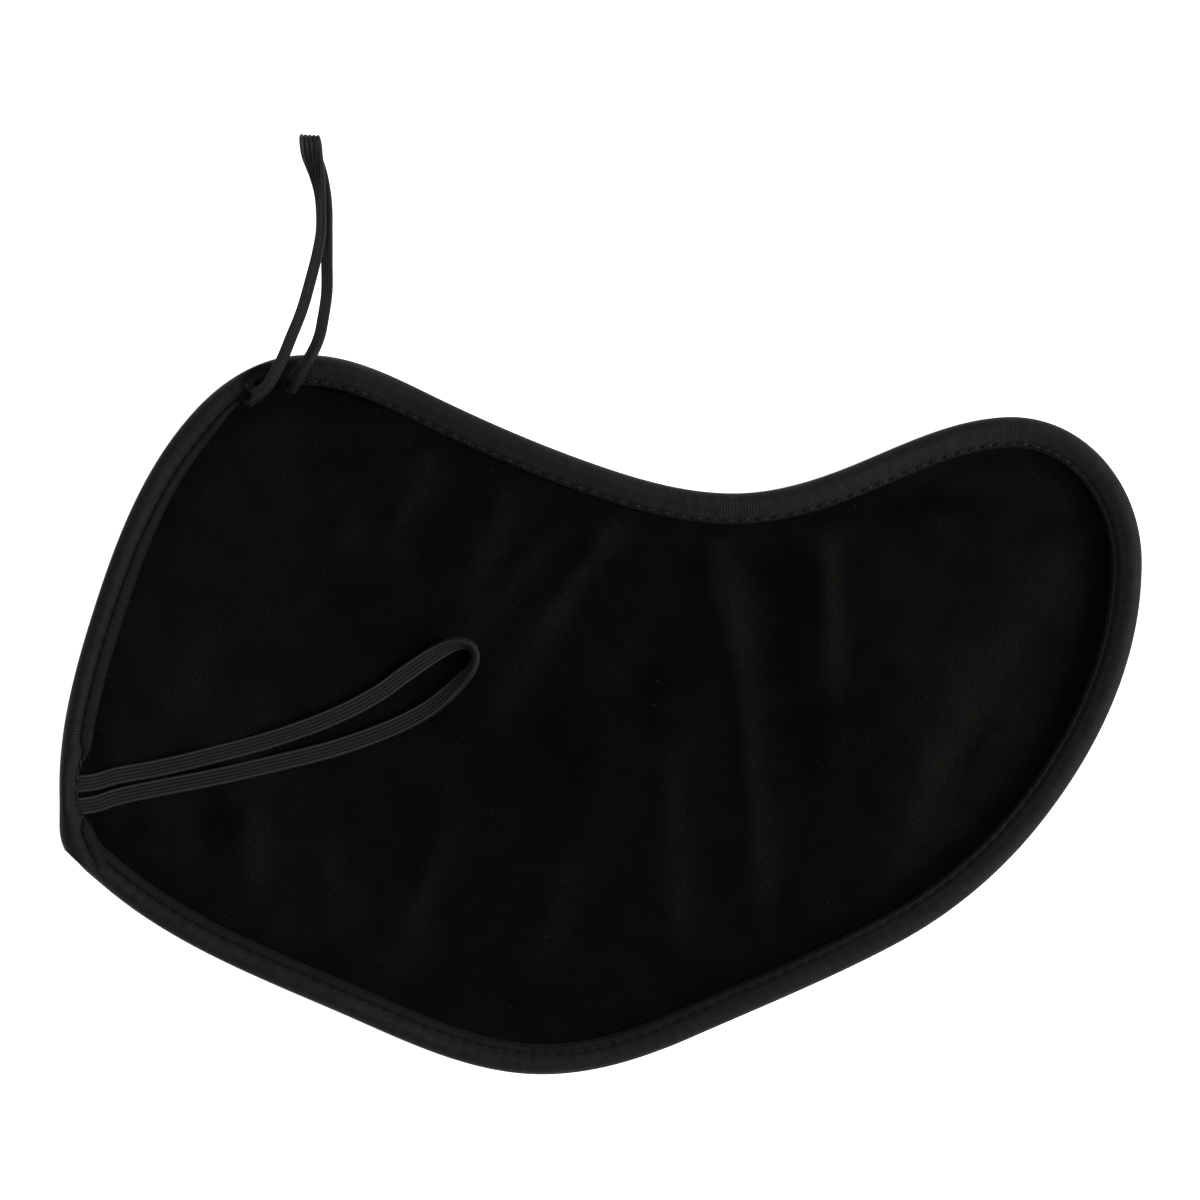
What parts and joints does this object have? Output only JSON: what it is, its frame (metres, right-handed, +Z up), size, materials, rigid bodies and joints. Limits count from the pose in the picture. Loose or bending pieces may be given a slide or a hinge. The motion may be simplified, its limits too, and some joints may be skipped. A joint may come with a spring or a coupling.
{
  "type": "eye patch",
  "caption": "Soft kidney-shaped cloth eye patch with a padded, slightly dished panel, a folded tape binding round its edge and short loops of flat elastic at one end.",
  "frame": {"origin": "middle of the panel's footprint, on the surface that the patch lies on", "axes": "+X along the panel's length towards its rounded narrow end, +Y towards the edge that carries the upper loop, +Z up out of the lining"},
  "size_m": [0.1616, 0.1411, 0.0085],
  "materials": {
    "face_cloth": "plain side of a black knit, matte",
    "interlining": "thin grey felt, hidden",
    "lining_cloth": "brushed side of a black knit, matte with fine lint",
    "binding_tape": "black tape with fine ribs across it, slight sheen",
    "sewing_thread": "black polyester sewing thread",
    "braided_elastic": "flat black braided elastic with ribs along it"
  },
  "bodies": {
    "panel": {"face_cloth": "face_cloth", "interlining": "interlining", "lining_cloth": "lining_cloth", "edge_binding": "binding_tape", "needle_thread": "sewing_thread", "bobbin_thread": "sewing_thread", "upper_loop_left_end": "braided_elastic", "upper_loop_right_end": "braided_elastic", "lower_loop_upper_end": "braided_elastic", "lower_loop_lower_end": "braided_elastic"},
    "upper_elastic": {"upper_loop": "braided_elastic"},
    "lower_elastic": {"lower_loop": "braided_elastic"}
  },
  "joints": [
    {"name": "upper_loop_swing", "type": "hinge", "parent": "panel", "child": "upper_elastic", "pos_m": [-0.04875, 0.047, 0.00805], "axis": [0.9431, 0.3326, 0], "range_deg": [0, 170]},
    {"name": "lower_loop_swing", "type": "hinge", "parent": "panel", "child": "lower_elastic", "pos_m": [-0.0755, -0.01165, 0.007], "axis": [0, -1, 0], "range_deg": [0, 170]}
  ]
}
